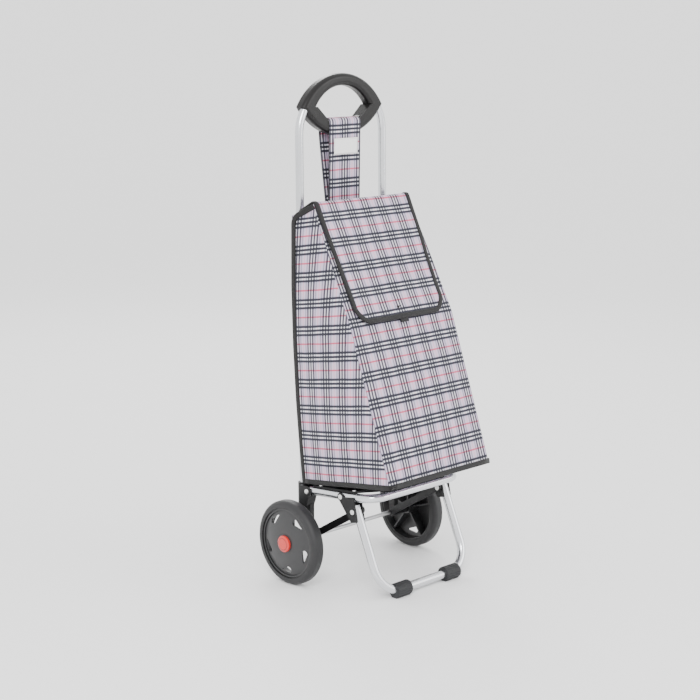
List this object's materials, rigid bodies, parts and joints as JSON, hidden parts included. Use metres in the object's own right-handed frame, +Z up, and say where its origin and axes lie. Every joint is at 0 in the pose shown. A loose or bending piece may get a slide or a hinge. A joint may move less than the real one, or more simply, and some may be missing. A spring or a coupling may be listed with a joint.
{
  "type": "shopping trolley on wheels",
  "caption": "Folding shopping trolley: a tapered check fabric bag with a bound lid flap hangs on a tube frame with a loop handle, spoked-hole wheels and a front leg.",
  "frame": {"origin": "on the floor under the middle of the trolley's bounding box", "axes": "+X to the trolley's right, +Y to its back, where the wheels and uprights are, +Z up"},
  "size_m": [0.367, 0.3105, 0.9404],
  "materials": {
    "tube_metal": "satin drawn tube",
    "handle_plastic": "semi-gloss moulded",
    "bracket_plastic": "moulded",
    "fixing_metal": "zinc plated",
    "axle_steel": "drawn rod",
    "spacer_plastic": "moulded",
    "tyre_rubber": "moulded, matt",
    "wheel_plastic": "moulded",
    "bush_plastic": "moulded",
    "cap_plastic": "glossy moulded",
    "board_plastic": "sheet",
    "strut_metal": "black paint",
    "foot_rubber": "ribbed, matt",
    "lining_cloth": "plain weave",
    "insert_plastic": "sheet",
    "binding_tape": "woven tape",
    "strap_webbing": "woven webbing",
    "label_cloth": "plain woven",
    "check_cloth": "printed check, light"
  },
  "bodies": {
    "frame": {"upright_left": "tube_metal", "upright_right": "tube_metal", "handle_grip": "handle_plastic", "handle_bow": "handle_plastic", "handle_screws": "fixing_metal", "rear_bracket_left": "bracket_plastic", "rear_bracket_right": "bracket_plastic", "bracket_screws": "fixing_metal", "axle": "axle_steel", "axle_spacers": "spacer_plastic", "axle_clips": "axle_steel", "pivot_rivets": "fixing_metal", "bag_back_panel": "lining_cloth", "bag_front_panel": "check_cloth", "bag_bottom_panel": "check_cloth", "bag_side_panel_left": "check_cloth", "bag_side_panel_right": "check_cloth", "bag_base_insert": "insert_plastic", "bag_bindings": "binding_tape", "closure_patch": "binding_tape", "strap": "strap_webbing", "strap_label": "label_cloth"},
    "platform": {"platform_tube": "tube_metal", "platform_board": "board_plastic", "board_screws": "fixing_metal", "leg_pivot_rivets": "fixing_metal"},
    "leg": {"leg_tube": "tube_metal", "leg_bracket_left": "bracket_plastic", "leg_bracket_right": "bracket_plastic", "foot_left": "foot_rubber", "foot_right": "foot_rubber", "leg_rivets": "fixing_metal"},
    "struts": {"strut_left": "strut_metal", "strut_right": "strut_metal", "strut_rivets": "fixing_metal"},
    "wheel_left": {"tyre_left": "tyre_rubber", "wheel_disc_left": "wheel_plastic", "wheel_bush_left": "bush_plastic", "hub_cap_left": "cap_plastic"},
    "wheel_right": {"tyre_right": "tyre_rubber", "wheel_disc_right": "wheel_plastic", "wheel_bush_right": "bush_plastic", "hub_cap_right": "cap_plastic"},
    "flap_top": {"flap_roof_panel": "check_cloth", "flap_roof_binding": "binding_tape"},
    "flap_front": {"flap_front_panel": "check_cloth", "flap_front_binding": "binding_tape", "flap_tab": "binding_tape"}
  },
  "joints": [
    {"name": "wheel_left_spin", "type": "hinge", "parent": "frame", "child": "wheel_left", "pos_m": [-0.162, 0.0753, 0.08], "axis": [1, 0, 0], "continuous": true},
    {"name": "wheel_right_spin", "type": "hinge", "parent": "frame", "child": "wheel_right", "pos_m": [0.162, 0.0753, 0.08], "axis": [1, 0, 0], "continuous": true},
    {"name": "platform_fold", "type": "hinge", "parent": "frame", "child": "platform", "pos_m": [0, 0.069, 0.1717], "axis": [-1, 0, 0], "range_deg": [0, 84.3], "deforming": ["bag_bottom_panel", "bag_base_insert", "bag_front_panel"]},
    {"name": "leg_fold", "type": "hinge", "parent": "platform", "child": "leg", "pos_m": [0, -0.02155, 0.18074], "axis": [-1, 0, 0], "range_deg": [-112, 0]},
    {"name": "strut_fold", "type": "hinge", "parent": "frame", "child": "struts", "pos_m": [0, 0.0753, 0.08], "axis": [-1, 0, 0], "range_deg": [0, 50]},
    {"name": "flap_top_hinge", "type": "hinge", "parent": "frame", "child": "flap_top", "pos_m": [0, 0.09402, 0.69496], "axis": [-1, 0, 0], "range_deg": [0, 50]},
    {"name": "flap_front_fold", "type": "hinge", "parent": "flap_top", "child": "flap_front", "pos_m": [0, 0.04893, 0.71537], "axis": [-1, 0, 0], "range_deg": [0, 92]}
  ],
  "couplings": [
    {"joint": "leg_fold", "follows": "platform_fold", "ratio": -1.3199},
    {"joint": "strut_fold", "follows": "platform_fold", "ratio": 0.5866}
  ]
}
